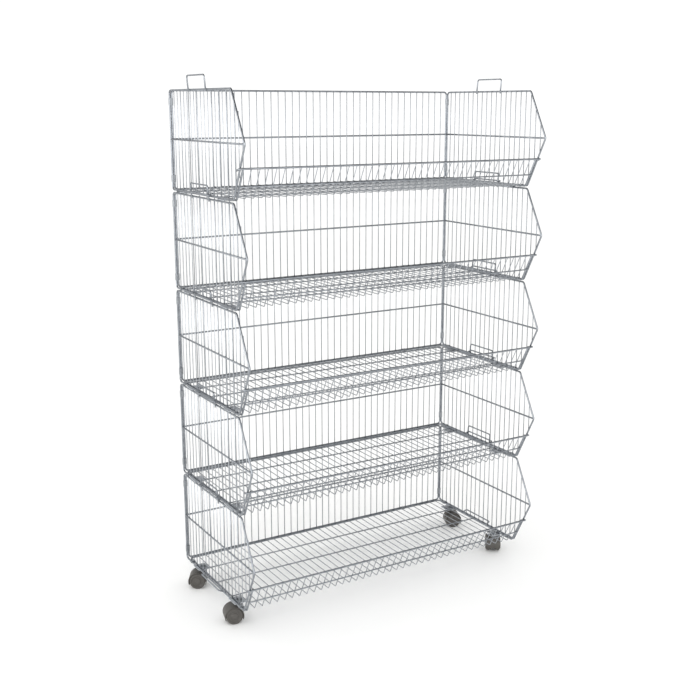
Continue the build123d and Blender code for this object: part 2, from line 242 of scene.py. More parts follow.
class CameraPlace(bpy.types.PropertyGroup):
    """Where the camera stands."""

    place: FloatVectorProperty(
        name="Place",
        description="Camera in the rack's frame",
        default=(-1.6463, -2.6781, 1.4855),
        subtype="XYZ",
        unit="LENGTH",
    )
    turn: angle("Turn", "To the right of straight on", 31.0)
    tilt: angle("Tilt", "Below the horizon", 13.25)
    lens: FloatProperty(name="Lens", description="Focal length", default=53.5, unit="CAMERA")


def layout(s):
    """Centre lines of a basket's wires.

    Depth runs forward from the back frame, and height up from the underside of the base rail.
    """
    w = SimpleNamespace()
    w.frame_r, w.rail_r, w.mesh_r, w.loop_r = (
        size / 2 for size in (s.frame_wire, s.rail_wire, s.mesh_wire, s.loop_wire)
    )
    w.frame_to_mesh = w.frame_r + w.mesh_r - s.weld_sink
    w.mesh_to_rail = w.mesh_r + w.rail_r - s.weld_sink
    w.mesh_to_middle = w.mesh_r + s.middle_wire / 2 - s.weld_sink
    w.side_x = s.basket_width / 2 - w.frame_r
    w.side_mesh_x = w.side_x - w.frame_to_mesh
    w.base_x = w.side_mesh_x - w.mesh_r - s.panel_clearance - w.frame_r
    w.back_x = w.side_x - s.corner_gap
    w.corner = s.base_depth - s.frame_wire
    w.nose = w.corner + s.front_bulge
    w.top_z = s.basket_height - w.frame_r
    w.base_z = w.frame_r
    w.floor_z = w.base_z + w.frame_to_mesh
    w.floor_rail_z = w.floor_z - w.mesh_to_rail
    w.rear_rail_depth = w.frame_to_mesh + w.mesh_r + s.panel_clearance + w.frame_r
    w.bottom_z = s.weld_sink + s.seat_gap + w.frame_r
    w.loop_depth = w.corner / 2
    w.loop_slope = tan(s.loop_lean)
    w.loop_rail_x = w.side_x + w.frame_r + w.loop_r - s.weld_sink
    w.loop_head_x = w.loop_rail_x + s.loop_height * w.loop_slope
    w.catch_x = w.loop_head_x + s.loop_wire + s.catch_play
    w.plate_drop = s.plate_thickness - s.weld_sink
    w.castor_x = w.base_x - s.castor_inset
    lower, upper = s.nose_height - w.bottom_z, w.top_z - s.nose_height
    run = hypot(s.front_bulge, lower)
    w.slope_depth, w.slope_rise = s.front_bulge / run, lower / run
    w.lip_rail_out = s.frame_wire + s.lip_clearance
    w.lip_mesh_out = w.lip_rail_out - w.frame_to_mesh
    w.lip_mid_out = w.lip_mesh_out + w.mesh_to_rail
    w.lip_side_out = w.lip_rail_out - (s.frame_wire - s.weld_sink)
    turn = atan2(s.front_bulge, lower) + atan2(s.front_bulge, upper)
    w.nose_cut = s.frame_bend * (1 / cos(turn / 2) - 1)
    w.weld_r = w.mesh_r + s.weld_spread
    return w


def lip_depth(w, z, out):
    """Depth of the line that lies out from the lower front slope, at a height."""
    start_z = w.bottom_z - out * w.slope_depth
    return w.corner + out * w.slope_rise + (z - start_z) * w.slope_depth / w.slope_rise


@lru_cache(maxsize=None)
def node_box(node):
    """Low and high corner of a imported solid."""
    return tuple(np.array(corner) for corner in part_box(node))


def seat(basket, w):
    """Back frame's centre line and the base rail's underside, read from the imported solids."""
    back, under = node_box(f"{basket}_back")[1][1], node_box(f"{basket}_base")[0][2]
    return back - w.frame_r, under + w.plate_drop


def placer(back, under, side=1):
    """A function from width, depth and height in a basket to a place in the rack's frame."""
    return lambda x, depth, z: np.array([side * x, back - depth, under + z])


def circle_angles(steps):
    """Even angles round a circle."""
    return np.arange(steps) * 2 * pi / steps


def unit(vectors):
    """Vectors divided by their lengths."""
    return vectors / np.linalg.norm(vectors, axis=-1, keepdims=True)


def hoops(normals, binormals, a):
    """Unit circles across the wires: normal cos a + binormal sin a."""
    return np.cos(a)[:, None] * normals[..., None, :] + np.sin(a)[:, None] * binormals[..., None, :]


def unrolled(along, radius, a):
    """Each point's place on the straightened wire: radius cos a, radius sin a and the way along."""
    along = along + 0 * a
    flat = [radius * np.cos(a) + 0 * along, radius * np.sin(a) + 0 * along, along]
    return np.stack(flat, -1).reshape(-1, 3)


def ring_faces(stations, sides, closed):
    """Quads between neighbouring rings of a tube, and strips of quads across its two ends."""
    i = np.arange(stations if closed else stations - 1)[:, None]
    j = np.arange(sides)[None, :]
    here, after = i * sides, ((i + 1) % stations) * sides
    turn = (j + 1) % sides
    quads = np.stack([here + j, here + turn, after + turn, after + j], -1).reshape(-1, 4)
    if closed:
        return quads
    k = np.arange(sides // 2 - 1)
    start = np.stack([k, sides - 1 - k, sides - 2 - k, k + 1], -1)
    end = np.stack([k, k + 1, sides - 2 - k, sides - 1 - k], -1) + (stations - 1) * sides
    return np.concatenate([quads, start, end])


def repeated(quads, count, points_each):
    """The same quads on count like sets of points, which follow each other."""
    return (quads[None] + np.arange(count)[:, None, None] * points_each).reshape(-1, 4)


def rounded(points, bends, closed=False):
    """Straight runs with an arc at each corner, which starts a tangent's length before it."""
    points = np.asarray(points, float)
    corners = range(len(points)) if closed else range(1, len(points) - 1)
    path = [] if closed else [points[:1]]
    for i, bend in zip(corners, np.broadcast_to(bends, len(corners))):
        into = unit(points[i] - points[i - 1])
        away = unit(points[(i + 1) % len(points)] - points[i])
        turn = np.arccos(np.clip(into @ away, -1, 1))
        inward = (away - into @ away * into) / sin(turn)
        start = points[i] - into * bend * tan(turn / 2)
        t = np.linspace(0, turn, max(3, int(turn / ARC_STEP) + 2))[:, None]
        path.append(start + bend * (np.sin(t) * into + (1 - np.cos(t)) * inward))
    if not closed:
        path.append(points[-1:])
    return np.concatenate(path)


def carried(tangents):
    """Normals that turn with the path and never twist, each one carried on from the last."""
    normals = [unit(np.cross(tangents[0], np.eye(3)[np.argmin(np.abs(tangents[0]))]))]
    for tangent in tangents[1:]:
        normals.append(unit(normals[-1] - tangent * (normals[-1] @ tangent)))
    return np.array(normals)


def wire(path, diameter, sides, closed=False):
    """A round wire: radius times a unit circle at each place of the path, with eased cut ends."""
    radius = diameter / 2
    if closed:
        tangents = unit(np.roll(path, -1, 0) - np.roll(path, 1, 0))
        swell = np.ones(len(path))
    else:
        ease = radius * END_EASE
        after_start = path[:1] + unit(path[1] - path[0]) * ease
        before_end = path[-1:] - unit(path[-1] - path[-2]) * ease
        path = np.concatenate([path[:1], after_start, path[1:-1], before_end, path[-1:]])
        tangents = unit(np.gradient(path, axis=0))
        swell = np.ones(len(path))
        swell[[0, -1]] = END_RADIUS
    normals = carried(tangents)
    a = circle_angles(sides)
    circles = hoops(normals, np.cross(tangents, normals), a)
    rings = path[:, None] + radius * swell[:, None, None] * circles
    run = np.concatenate([[0], np.cumsum(np.linalg.norm(np.diff(path, axis=0), axis=1))])
    faces = ring_faces(len(path), sides, closed)
    return rings.reshape(-1, 3), faces, unrolled(run[:, None], radius, a)


def copies(part, offsets):
    """The same part at many places, as one block of arrays."""
    points, quads, run = part
    offsets = np.asarray(offsets, float)
    count = len(offsets)
    moved = points[None] + offsets[:, None]
    shifted = run[None] + np.arange(count)[:, None, None] * np.array([0, 0, PATTERN_SHIFT])
    return moved.reshape(-1, 3), repeated(quads, count, len(points)), shifted.reshape(-1, 3)


def straight_wires(starts, ends, diameter, sides):
    """Parallel wires of different lengths: four rings each, at the two eased ends of its run."""
    starts, ends = np.asarray(starts, float), np.asarray(ends, float)
    lengths = np.linalg.norm(ends - starts, axis=1)
    along = unit(ends[0] - starts[0])
    normal = carried(along[None])[0]
    radius, a = diameter / 2, circle_angles(sides)
    ease = radius * END_EASE
    heights = np.stack([0 * lengths, 0 * lengths + ease, lengths - ease, lengths], 1)[..., None]
    swell = np.array([END_RADIUS, 1, 1, END_RADIUS])[:, None, None]
    circles = radius * swell * hoops(normal, np.cross(along, normal), a)
    rings = starts[:, None, None] + heights[..., None] * along + circles
    count, stations = len(starts), len(swell)
    shift = PATTERN_SHIFT * np.arange(count)[:, None, None]
    faces = repeated(ring_faces(stations, sides, False), count, stations * sides)
    return rings.reshape(-1, 3), faces, unrolled(heights + shift, radius, a)


def spot_welds(centres, between, spread, thickness):
    """Squashed beads where wires cross: ellipsoids, flat along the line between the two wires."""
    centres = np.asarray(centres, float)
    normal = carried(between[None])[0]
    circle = hoops(normal, np.cross(between, normal), circle_angles(BEAD_SIDES))
    latitude = np.linspace(-pi / 2, pi / 2, BEAD_ROWS + 2)[1:-1, None, None]
    bead = np.cos(latitude) * spread * circle + np.sin(latitude) * thickness * between
    points = (centres[:, None, None] + bead).reshape(-1, 3)
    quads = ring_faces(BEAD_ROWS, BEAD_SIDES, False)
    return points, repeated(quads, len(centres), BEAD_ROWS * BEAD_SIDES), points


def drilled_plate(middle, size, hole, hole_radius, thickness, ease):
    """A plate round a hole: rings go from the hole over the top, the eased rim and underneath."""
    a = circle_angles(PLATE_STEPS)
    ray = np.stack([np.cos(a), np.sin(a)], 1)
    square = ray / np.abs(ray).max(1)[:, None]
    half, top = np.asarray(size) / 2, thickness / 2
    bore = hole + ray * hole_radius
    rim, inner_rim = middle + square * half, middle + square * (half - ease)
    rings = [
        (bore, top),
        (inner_rim, top),
        (rim, top - ease),
        (rim, ease - top),
        (inner_rim, -top),
        (bore, -top),
    ]
    grid = np.array([np.column_stack([flat, np.full(len(a), z)]) for flat, z in rings])
    points = grid.reshape(-1, 3)
    return points, ring_faces(len(rings), len(a), True)[:, ::-1], points


def castor_stand(castor):
    """Stem's place on the floor, its directions (trail, axle and up), and the trail's length."""
    level = np.array([1, 1, 0])
    stem = sum(node_box(f"{castor}_stem")) / 2 * level
    trail = sum(node_box(f"{castor}_axle")) / 2 * level - stem
    along = unit(trail)
    turn = np.array([along, [-along[1], along[0], 0], [0, 0, 1]])
    return stem, turn, np.linalg.norm(trail)


def standing(part, foot, turn):
    """A castor's part, moved from its own directions to its place under the rack."""
    points, faces, run = part
    return points @ turn + foot, faces, run


def wheel_part(c, trail, side):
    """A wheel: each place of the outline is carried round the axle on a circle of its radius."""
    radius, wide = c.wheel_diameter / 2, c.wheel_width
    floor = wide - c.wheel_dish
    corners = [
        (c.bore / 2, c.bore_depth),
        (c.bore / 2, 0),
        (radius, 0),
        (radius, wide),
        (c.dish_outer, wide),
        (c.dish_outer - c.wheel_dish, floor),
        (c.dish_inner + c.wheel_dish, floor),
        (c.dish_inner, wide),
        (c.moulded_edge, wide),
    ]
    small, big = c.moulded_edge, c.wheel_edge
    outline = rounded(corners, [small, big, big, small, small, small, small])
    a = circle_angles(WHEEL_STEPS)
    r, h = outline[:, 0, None], outline[:, 1, None]
    across = side * (c.wheel_space / 2 + h)
    points = [trail + r * np.cos(a), across + 0 * a, radius - side * r * np.sin(a)]
    run = [r + 0 * a, h + 0 * a, radius * a + 0 * r]
    faces = ring_faces(len(outline), len(a), False)
    return np.stack(points, -1).reshape(-1, 3), faces, np.stack(run, -1).reshape(-1, 3)


def roof_part(c, trail):
    """Roof over the wheels: a round-edged strip on an arc about the axle, cut level below."""
    axle_z = c.wheel_diameter / 2
    inner = axle_z + c.hood_gap
    outer, half = inner + c.hood_wall, c.wheel_space / 2 + c.wheel_width
    corners = [(inner, -half), (outer, -half), (outer, half), (inner, half)]
    strip = rounded(corners, c.hood_edge, closed=True)
    radius, across = strip[None, :, 0], strip[None, :, 1]
    start = -np.arcsin((axle_z - c.hood_skirt) / radius)
    a = start + np.linspace(0, 1, ROOF_STEPS)[:, None] * (pi - 2 * start)
    grid = [trail + radius * np.cos(a), across + 0 * a, axle_z + radius * np.sin(a)]
    points = np.stack(grid, -1).reshape(-1, 3)
    return points, ring_faces(len(a), len(strip), False), points


def web_part(c, trail):
    """Web between the wheels: a flat outline whose reach from the axle is set for each angle."""
    axle_z = c.wheel_diameter / 2
    reach = axle_z + c.hood_gap + c.hood_wall / 2
    a = circle_angles(WEB_STEPS)
    to_stem = trail / np.maximum(-np.cos(a), TINY)
    to_skirt = (axle_z - c.hood_skirt) / np.maximum(-np.sin(a), TINY)
    outline = np.minimum(np.clip(to_stem, c.web_radius, reach), to_skirt)
    half, ease, middle = c.web_width / 2, c.web_edge, outline / 20
    rings = [
        (middle, half),
        (outline - ease, half),
        (outline, half - ease),
        (outline, ease - half),
        (outline - ease, -half),
        (middle, -half),
    ]
    grid = [
        np.stack([trail + r * np.cos(a), 0 * a + y, axle_z + r * np.sin(a)], -1) for r, y in rings
    ]
    points = np.array(grid).reshape(-1, 3)
    return points, ring_faces(len(rings), len(a), False), points


def boss_part(c, trail):
    """Boss round the stem: an outline turned about the stem, its foot in the middle of the roof."""
    axle_z = c.wheel_diameter / 2
    middle = axle_z + c.hood_gap + c.hood_wall / 2
    outer, hole, top = c.boss_diameter / 2, c.socket / 2, c.hood_top
    band, ease = 4 * c.hood_edge, c.web_edge
    a = circle_angles(BOSS_STEPS)
    rim = rounded([(outer, top - band), (outer, top), (outer - band, top)], c.hood_edge)
    wall = np.concatenate([rim, [(hole + ease, top), (hole, top - ease)]])

    def ring(radius, z):
        return np.stack([radius * np.cos(a), radius * np.sin(a), z + 0 * a], -1)

    def foot(radius):
        ahead = trail - radius * np.cos(a)
        return ring(radius, axle_z + np.sqrt(np.maximum(middle**2 - ahead**2, 0)))

    rings = [ring(r, z) for r, z in wall] + [foot(r) for r in np.linspace(hole, outer, FOOT_STEPS)]
    points = np.array(rings).reshape(-1, 3)
    return points, ring_faces(len(rings), len(a), True), points


def joined(parts):
    """Several parts as one set of arrays, with a finish's number for each face."""
    points, faces, runs = zip(*(part for part, kind in parts))
    starts = np.cumsum([0, *map(len, points)])
    kinds = np.repeat([kind for part, kind in parts], [len(block) for block in faces])
    faces = [block + start for block, start in zip(faces, starts)]
    return np.concatenate(points), np.concatenate(faces), np.concatenate(runs), kinds


def piece(name, parts, finishes, body, node):
    """A mesh in the rack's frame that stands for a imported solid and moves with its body."""
    points, faces, runs, kinds = joined(parts)
    mesh = bpy.data.meshes.new(name)
    mesh.vertices.add(len(points))
    mesh.vertices.foreach_set("co", points.astype(np.float32).ravel())
    mesh.loops.add(faces.size)
    mesh.loops.foreach_set("vertex_index", faces.astype(np.int32).ravel())
    mesh.polygons.add(len(faces))
    mesh.polygons.foreach_set("loop_start", np.arange(len(faces), dtype=np.int32) * 4)
    mesh.update(calc_edges=True)
    mesh.polygons.foreach_set("material_index", kinds.astype(np.int32))
    mesh.polygons.foreach_set("use_smooth", np.ones(len(faces), bool))
    mesh.set_sharp_from_angle(angle=SHARP_ANGLE)
    straight = mesh.attributes.new(RUN, "FLOAT_VECTOR", "POINT")
    straight.data.foreach_set("vector", runs.astype(np.float32).ravel())
    if mesh.validate():
        raise RuntimeError(f"{name} has broken faces")
    for material in finishes:
        mesh.materials.append(material)
    made = bpy.data.objects.new(name, mesh)
    bpy.context.scene.collection.objects.link(made)
    low, high = node_box(node)
    off = max(np.abs(points.min(0) - low).max(), np.abs(points.max(0) - high).max())
    if off > FIT:
        raise RuntimeError(f"{name} is {off / MM:.2f} mm off its solid")
    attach(made, body)
    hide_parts(node)


def even_places(pitch, half_span, edge_gap):
    """Places at an even pitch on both sides of the middle, clear of the frame."""
    steps = int((half_span - edge_gap) / pitch + TINY)
    return pitch * np.arange(-steps, steps + 1)


def base_parts(s, w, back, under):
    """Wires, plates and welds of a basket's base."""
    at = placer(back, under)

    def mirrored(half):
        return half + [p * MIRROR for p in reversed(half)]

    def on_lip(x, z, out):
        return at(x, lip_depth(w, z, out), z)

    rail_end = s.lip_height + s.wire_overrun
    side_rail = [
        on_lip(w.base_x, rail_end, w.lip_side_out),
        on_lip(w.base_x, w.base_z, w.lip_side_out),
        at(w.base_x, w.rear_rail_depth, w.base_z),
    ]
    hook = on_lip(w.side_x + s.frame_wire + s.lip_clearance, s.lip_height, w.lip_rail_out)
    fall_in, fall_down = cos(s.hook_fall), sin(s.hook_fall)
    tail = hook + s.hook_length * np.array(
        [
            0,
            fall_in * w.slope_rise + fall_down * w.slope_depth,
            fall_in * w.slope_depth - fall_down * w.slope_rise,
        ]
    )
    parts = [
        (wire(rounded(mirrored(side_rail), s.frame_bend), s.frame_wire, FRAME_SIDES), HEAVY),
        (wire(rounded(mirrored([tail, hook]), s.hook_bend), s.frame_wire, FRAME_SIDES), HEAVY),
    ]

    front = lip_depth(w, w.floor_z, w.lip_mesh_out)
    rail_depths = front * np.arange(1, s.floor_rail_count + 1) / (s.floor_rail_count + 1)
    floor_rails = [at(-w.base_x, depth, w.floor_rail_z) for depth in rail_depths]
    lip_rails = [on_lip(-w.base_x - s.wire_overrun, s.lip_mid_height, w.lip_mid_out)]
    for left in (floor_rails, lip_rails):
        right = [p * MIRROR for p in left]
        parts.append((straight_wires(left, right, s.rail_wire, RAIL_SIDES), HEAVY))

    places = even_places(s.floor_pitch, w.base_x, s.mesh_edge_gap)
    across = np.stack([places, 0 * places, 0 * places], 1)
    floor_wire = [
        at(0, w.rear_rail_depth - s.wire_overrun, w.floor_z),
        at(0, front, w.floor_z),
        on_lip(0, rail_end, w.lip_mesh_out),
    ]
    filling = wire(rounded(floor_wire, s.mesh_bend), s.mesh_wire, MESH_SIDES)
    parts.append((copies(filling, across), FILLING))

    up, out = np.array([0.0, 0, 1]), np.array([0, -w.slope_rise, -w.slope_depth])
    half_sink = s.weld_sink / 2
    for depth in (w.rear_rail_depth, *rail_depths):
        spots = at(0, depth, w.floor_z - w.mesh_r + half_sink) + across
        parts.append((spot_welds(spots, up, w.weld_r, s.weld_rise), WELD))
    for z, rail_out, radius in (
        (s.lip_mid_height, w.lip_mid_out, w.rail_r),
        (s.lip_height, w.lip_rail_out, w.frame_r),
    ):
        spots = on_lip(0, z, rail_out) - out * (radius - half_sink) + across
        parts.append((spot_welds(spots, out, w.weld_r, s.weld_rise), WELD))

    outer, inner = s.basket_width / 2, w.castor_x - s.plate_margin
    lift = np.array([0, 0, under + s.weld_sink - s.plate_thickness / 2])
    for side in SIDES.values():
        feet = [at(side * w.base_x, depth, w.floor_rail_z) for depth in rail_depths]
        parts.append((spot_welds(feet, up, w.frame_r + s.weld_spread, w.frame_r), WELD))
        for depth in (s.castor_setback, w.corner - s.castor_setback):
            plate = drilled_plate(
                at(side * (outer + inner) / 2, depth, 0)[:2],
                (outer - inner, s.plate_length),
                at(side * w.castor_x, depth, 0)[:2],
                s.plate_hole / 2,
                s.plate_thickness,
                s.plate_edge,
            )
            parts.append((copies(plate, [lift]), PLATE))
    return parts


def side_parts(s, w, back, under, side):
    """Frame, middle wire, filling wires, loop, catch and welds of a side panel."""
    at = placer(back, under, side)
    outline = [
        at(w.side_x, 0, w.bottom_z),
        at(w.side_x, 0, w.top_z),
        at(w.side_x, w.corner, w.top_z),
        at(w.side_x, w.nose, s.nose_height),
        at(w.side_x, w.corner, w.bottom_z),
    ]
    middle_x = w.side_mesh_x + w.mesh_to_middle
    middle = [at(middle_x, depth, s.nose_height) for depth in (0, w.nose - w.nose_cut)]
    count = int((w.nose - s.mesh_edge_gap) / s.side_pitch + TINY)
    depths = s.side_pitch * np.arange(1, count + 1)
    share = np.clip((depths - w.corner) / s.front_bulge, 0, 1)
    low = w.bottom_z + (s.nose_height - w.bottom_z) * share
    high = w.top_z - (w.top_z - s.nose_height) * share
    feet = [at(w.side_mesh_x, d, z - s.wire_overrun) for d, z in zip(depths, low)]
    heads = [at(w.side_mesh_x, d, z + s.wire_overrun) for d, z in zip(depths, high)]

    def staple(half_width, foot, head):
        near, far = w.loop_depth - half_width, w.loop_depth + half_width
        corners = [(foot, near), (head, near), (head, far), (foot, far)]
        path = rounded([at(x, depth, z) for (x, z), depth in corners], s.loop_bend)
        return wire(path, s.loop_wire, RAIL_SIDES)

    loop_half = s.loop_width / 2
    catch_half = loop_half + s.loop_wire + s.catch_play
    loop_foot = w.loop_rail_x - s.loop_foot * w.loop_slope, w.top_z - s.loop_foot
    loop_head = w.loop_head_x, w.top_z + s.loop_height
    catch_foot, catch_head = (w.side_x, w.bottom_z), (w.catch_x, w.bottom_z + s.catch_rise)

    contact = w.side_mesh_x + w.mesh_r - s.weld_sink / 2
    middles = np.full(count, s.nose_height)
    spots = [at(contact, d, z) for heights in (low, high, middles) for d, z in zip(depths, heights)]
    catch_z = w.bottom_z + s.catch_rise * w.frame_r / (w.catch_x - w.side_x)
    staple_spots = [
        at(w.side_x + w.frame_r, w.loop_depth + end * half, z)
        for half, z in ((loop_half, w.top_z), (catch_half, catch_z))
        for end in (-1, 1)
    ]
    sideways = np.array([1.0, 0, 0])
    bent = rounded(outline, s.frame_bend, closed=True)
    return [
        (wire(bent, s.frame_wire, FRAME_SIDES, closed=True), HEAVY),
        (straight_wires(middle[:1], middle[1:], s.middle_wire, RAIL_SIDES), HEAVY),
        (straight_wires(feet, heads, s.mesh_wire, MESH_SIDES), FILLING),
        (staple(loop_half, loop_foot, loop_head), HEAVY),
        (staple(catch_half, catch_foot, catch_head), HEAVY),
        (spot_welds(spots, sideways, w.weld_r, s.weld_rise), WELD),
        (spot_welds(staple_spots, sideways, w.loop_r + s.weld_spread, w.loop_r), WELD),
    ]


def back_parts(s, w, back, under):
    """Frame, middle wire, filling wires and welds of a back panel."""
    at = placer(back, under)
    outline = [
        at(-w.back_x, 0, w.bottom_z),
        at(-w.back_x, 0, w.top_z),
        at(w.back_x, 0, w.top_z),
        at(w.back_x, 0, w.bottom_z),
    ]
    middle = at(-w.back_x, w.frame_to_mesh - w.mesh_to_middle, s.nose_height)
    places = even_places(s.back_pitch, w.back_x, s.mesh_edge_gap)
    feet = [at(x, w.frame_to_mesh, w.bottom_z - s.wire_overrun) for x in places]
    heads = [at(x, w.frame_to_mesh, w.top_z + s.wire_overrun) for x in places]
    contact = w.frame_to_mesh - w.mesh_r + s.weld_sink / 2
    spots = [at(x, contact, z) for z in (w.bottom_z, s.nose_height, w.top_z) for x in places]
    bent = rounded(outline, s.frame_bend, closed=True)
    return [
        (wire(bent, s.frame_wire, FRAME_SIDES, closed=True), HEAVY),
        (straight_wires([middle], [middle * MIRROR], s.middle_wire, RAIL_SIDES), HEAVY),
        (straight_wires(feet, heads, s.mesh_wire, MESH_SIDES), FILLING),
        (spot_welds(spots, np.array([0.0, 1, 0]), w.weld_r, s.weld_rise), WELD),
    ]


def add(tree, kind, sockets=None, **settings):
    """One node with its settings. A socket takes a value, a result, or a node's first result."""
    node = tree.nodes.new(f"ShaderNode{kind}")
    for name, value in settings.items():
        setattr(node, name, value)
    for socket, value in (sockets or {}).items():
        if isinstance(value, bpy.types.Node):
            value = next(output for output in value.outputs if output.enabled)
        if isinstance(value, bpy.types.NodeSocket):
            tree.links.new(value, node.inputs[socket])
        else:
            node.inputs[socket].default_value = value
    return node


def finish(name, surface, *colours):
    """A material of that name, whose surface adds its nodes and gives the shader's sockets."""
    material = bpy.data.materials.new(name)
    material.use_nodes = True
    tree = material.node_tree
    tree.nodes.clear()
    place = add(tree, "TexCoord").outputs["Object"]
    shader = add(tree, "BsdfPrincipled", surface(tree, place, *colours))
    add(tree, "OutputMaterial", {"Surface": shader})
    return material


def zinc_plated_wire(tree, place, bright, dull):
    """Bright zinc on drawn steel wire: bluish silver, cloudy patches, fine lines along it."""
    cloud_size = 22 * MM
    # Real drawing lines are finer, and are drawn as coarse as they need to show
    line_width, line_length, line_depth = 0.5 * MM, 30 * MM, 0.05 * MM
    run = add(tree, "Attribute", attribute_name=RUN).outputs["Vector"]
    cloud = add(tree, "TexNoise", {"Vector": place, "Scale": 1 / cloud_size, "Detail": 4.0})
    patches = add(tree, "MapRange", {"Value": cloud, "From Min": 0.35, "From Max": 0.65})
    fineness = 1 / line_width, 1 / line_width, 1 / line_length
    lines = add(tree, "Mapping", {"Vector": run, "Scale": fineness})
    drawn = add(tree, "TexNoise", {"Vector": lines, "Scale": 1.0, "Detail": 2.0})
    shades = {SHARE: patches, COLOUR_A: (*bright, 1), COLOUR_B: (*dull, 1)}
    colour = add(tree, "Mix", shades, data_type="RGBA")
    rough = add(
        tree,
        "MapRange",
        {"Value": drawn, "From Min": 0.3, "From Max": 0.7, "To Min": 0.26, "To Max": 0.42},
    )
    bump = add(tree, "Bump", {"Height": drawn, "Strength": 0.25, "Distance": line_depth})
    return {"Base Color": colour, "Metallic": 1.0, "Roughness": rough, "Normal": bump}


def zinc_over_weld(tree, place, colours):
    """Zinc over the squeezed metal of a spot weld: duller, greyer and slightly pitted."""
    pit_size, pit_depth = 0.7 * MM, 0.15 * MM
    pits = add(tree, "TexNoise", {"Vector": place, "Scale": 1 / pit_size, "Detail": 3.0})
    shades = {SHARE: pits, COLOUR_A: (*colours.weld, 1), COLOUR_B: (*colours.zinc_dull, 1)}
    colour = add(tree, "Mix", shades, data_type="RGBA")
    bump = add(tree, "Bump", {"Height": pits, "Strength": 0.5, "Distance": pit_depth})
    return {"Base Color": colour, "Metallic": 1.0, "Roughness": 0.5, "Normal": bump}


def pressed_zinc_strip(tree, place, colours):
    """Zinc-plated strip, rolled and bent round the wires: even silver with faint mottling."""
    mottle_size = 3 * MM
    mottle = add(tree, "TexNoise", {"Vector": place, "Scale": 1 / mottle_size, "Detail": 5.0})
    shades = {SHARE: mottle, COLOUR_A: (*colours.strip, 1), COLOUR_B: (*colours.zinc_dull, 1)}
    colour = add(tree, "Mix", shades, data_type="RGBA")
    rough = add(tree, "MapRange", {"Value": mottle, "To Min": 0.28, "To Max": 0.48})
    return {"Base Color": colour, "Metallic": 1.0, "Roughness": rough}


def rolled_zinc_plate(tree, place, colours):
    """Zinc on rolled steel plate: pale, soft grey with blurred reflections and faint spangle."""
    spangle_size = 5 * MM
    spangle = add(tree, "TexVoronoi", {"Vector": place, "Scale": 1 / spangle_size})
    shade = add(tree, "SeparateColor", {"Color": spangle.outputs["Color"]})
    shades = {SHARE: shade, COLOUR_A: (*colours.plate, 1), COLOUR_B: (*colours.zinc, 1)}
    colour = add(tree, "Mix", shades, data_type="RGBA")
    rough = add(tree, "MapRange", {"Value": shade, "To Min": 0.48, "To Max": 0.62})
    return {"Base Color": colour, "Metallic": 1.0, "Roughness": rough}


def turned_zinc_steel(tree, place, colours):
    """Turned and zinc-plated steel of stems, nuts and axles: silver, with fine tool rings."""
    stain_size, bands_per_scale = 6 * MM, 20
    # Real tool marks are finer, and are drawn as coarse as they need to show
    ring_pitch, ring_depth = 0.6 * MM, 0.05 * MM
    rings = add(
        tree,
        "TexWave",
        {"Vector": place, "Scale": 1 / ring_pitch / bands_per_scale, "Distortion": 0.4},
        bands_direction="Z",
    )
    stain = add(tree, "TexNoise", {"Vector": place, "Scale": 1 / stain_size, "Detail": 4.0})
    shades = {SHARE: stain, COLOUR_A: (*colours.turned, 1), COLOUR_B: (*colours.zinc_dull, 1)}
    colour = add(tree, "Mix", shades, data_type="RGBA")
    height = rings.outputs["Fac"]
    bump = add(tree, "Bump", {"Height": height, "Strength": 0.2, "Distance": ring_depth})
    return {"Base Color": colour, "Metallic": 1.0, "Roughness": 0.32, "Normal": bump}


def grained_nylon(tree, place, colours, worn, rough):
    """Dark grey nylon from a grained mould: greyer where it is worn, with an even grain."""
    nylon_ior = 1.53
    # A real mould's grain is finer, and is drawn as coarse as it needs to show
    grain_size, grain_depth = 0.5 * MM, 0.08 * MM
    grain = add(tree, "TexNoise", {"Vector": place, "Scale": 1 / grain_size, "Detail": 2.0})
    shades = {SHARE: worn, COLOUR_A: (*colours.nylon, 1), COLOUR_B: (*colours.nylon_worn, 1)}
    colour = add(tree, "Mix", shades, data_type="RGBA")
    bump = add(tree, "Bump", {"Height": grain, "Strength": 0.3, "Distance": grain_depth})
    return {"Base Color": colour, "Roughness": rough, "IOR": nylon_ior, "Normal": bump}


def moulded_nylon(tree, place, colours):
    """Nylon of the hoods: half matt, with slight clouding."""
    cloud_size = 14 * MM
    cloud = add(tree, "TexNoise", {"Vector": place, "Scale": 1 / cloud_size, "Detail": 3.0})
    worn = add(
        tree,
        "MapRange",
        {"Value": cloud, "From Min": 0.5, "From Max": 0.75, "To Min": 0.0, "To Max": 0.4},
    )
    rough = add(tree, "MapRange", {"Value": cloud, "To Min": 0.42, "To Max": 0.6})
    return grained_nylon(tree, place, colours, worn, rough)


def scuffed_nylon(tree, place, colours):
    """Nylon of the wheels: the tread is rolled matt and grey, and the faces keep their grain."""
    scuff_width, scuff_length = 0.8 * MM, 5 * MM
    tread_start, tread_full = 23.6 * MM, 24.9 * MM
    run = add(tree, "Attribute", attribute_name=RUN).outputs["Vector"]
    radius = add(tree, "SeparateXYZ", {"Vector": run})
    tread = add(
        tree,
        "MapRange",
        {"Value": radius, "From Min": tread_start, "From Max": tread_full},
        interpolation_type="SMOOTHSTEP",
    )
    around = add(tree, "Mapping", {"Vector": run, "Scale": (0, 1 / scuff_width, 1 / scuff_length)})
    scuffs = add(tree, "TexNoise", {"Vector": around, "Scale": 1.0, "Detail": 3.0})
    worn = add(tree, "Math", {0: scuffs, 1: tread}, operation="MULTIPLY")
    rough = add(tree, "MapRange", {"Value": worn, "To Min": 0.45, "To Max": 0.85})
    return grained_nylon(tree, place, colours, worn, rough)


